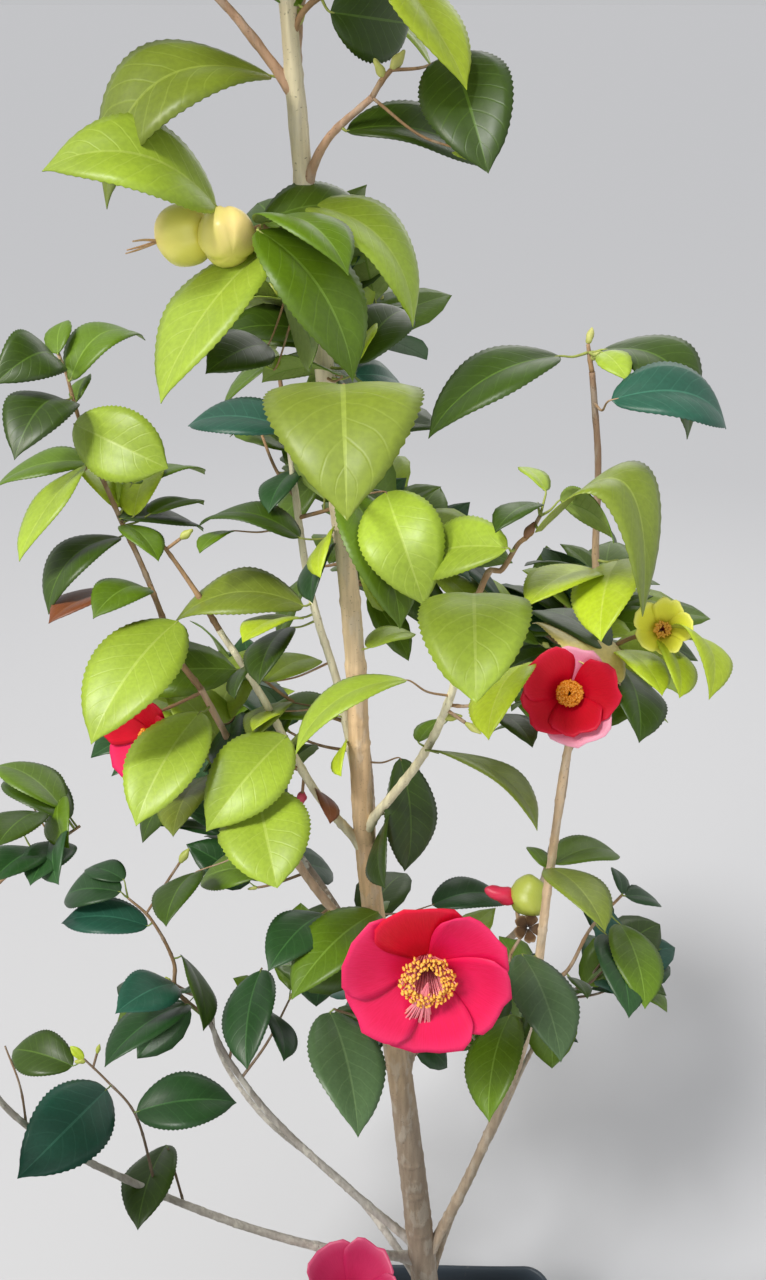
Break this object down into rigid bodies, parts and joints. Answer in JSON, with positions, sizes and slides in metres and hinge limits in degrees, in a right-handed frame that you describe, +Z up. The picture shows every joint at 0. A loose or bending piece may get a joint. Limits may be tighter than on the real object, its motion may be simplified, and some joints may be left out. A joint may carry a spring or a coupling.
{
  "type": "potted camellia shrub",
  "caption": "Young camellia with a leaning trunk, long thin boughs, glossy leaves, red flowers and round fruit, in a soft-cornered square nursery pot.",
  "frame": {"origin": "on the ground, at the middle of the pot's flat underside", "axes": "+Z up along the plant, +X to the right and +Y away as the plant is seen from its front"},
  "size_m": [0.7182, 0.5981, 1.7584],
  "materials": {
    "pot": "satin",
    "soil": "matte",
    "bark": "matte",
    "foliage": "satin",
    "petals": "satin",
    "stamens": "matte",
    "fruit": "satin",
    "buds": "satin"
  },
  "bodies": {
    "root": {"pot": "pot", "soil": "soil", "trunk": "bark", "bough_back_centre": "bark", "bough_back_left": "bark", "bough_back_low_centre": "bark", "bough_back_low_left": "bark", "bough_back_low_right": "bark", "bough_back_right": "bark", "bough_crown_back": "bark", "bough_front_flower": "bark", "bough_front_high": "bark", "bough_front_low": "bark", "bough_front_low_left": "bark", "bough_front_low_right": "bark", "bough_left_lower": "bark", "bough_long_left": "bark", "bough_low_left": "bark", "bough_mid_left": "bark", "bough_mid_right": "bark", "bough_top_left": "bark", "bough_top_right": "bark", "stem_right": "bark", "stem_second": "bark", "foliage_back_centre": "foliage", "foliage_back_left": "foliage", "foliage_back_low_centre": "foliage", "foliage_back_low_left": "foliage", "foliage_back_low_right": "foliage", "foliage_back_middle": "foliage", "foliage_back_right": "foliage", "foliage_below_fruit": "foliage", "foliage_centre_right": "foliage", "foliage_crown_back": "foliage", "foliage_crown_left": "foliage", "foliage_crown_tip": "foliage", "foliage_front_flower": "foliage", "foliage_front_high": "foliage", "foliage_front_left": "foliage", "foliage_front_low": "foliage", "foliage_front_low_left": "foliage", "foliage_front_low_right": "foliage", "foliage_front_right": "foliage", "foliage_left_edge": "foliage", "foliage_left_lower": "foliage", "foliage_left_middle": "foliage", "foliage_left_tip": "foliage", "foliage_low_flower": "foliage", "foliage_low_left_inner": "foliage", "foliage_low_left_outer": "foliage", "foliage_mid_left": "foliage", "foliage_mid_right": "foliage", "foliage_right_arch": "foliage", "foliage_right_flower": "foliage", "foliage_right_low": "foliage", "foliage_right_upper": "foliage", "foliage_second_stem": "foliage", "foliage_top_left": "foliage", "foliage_top_right": "foliage", "foliage_upper_centre": "foliage"}
  },
  "joints": []
}
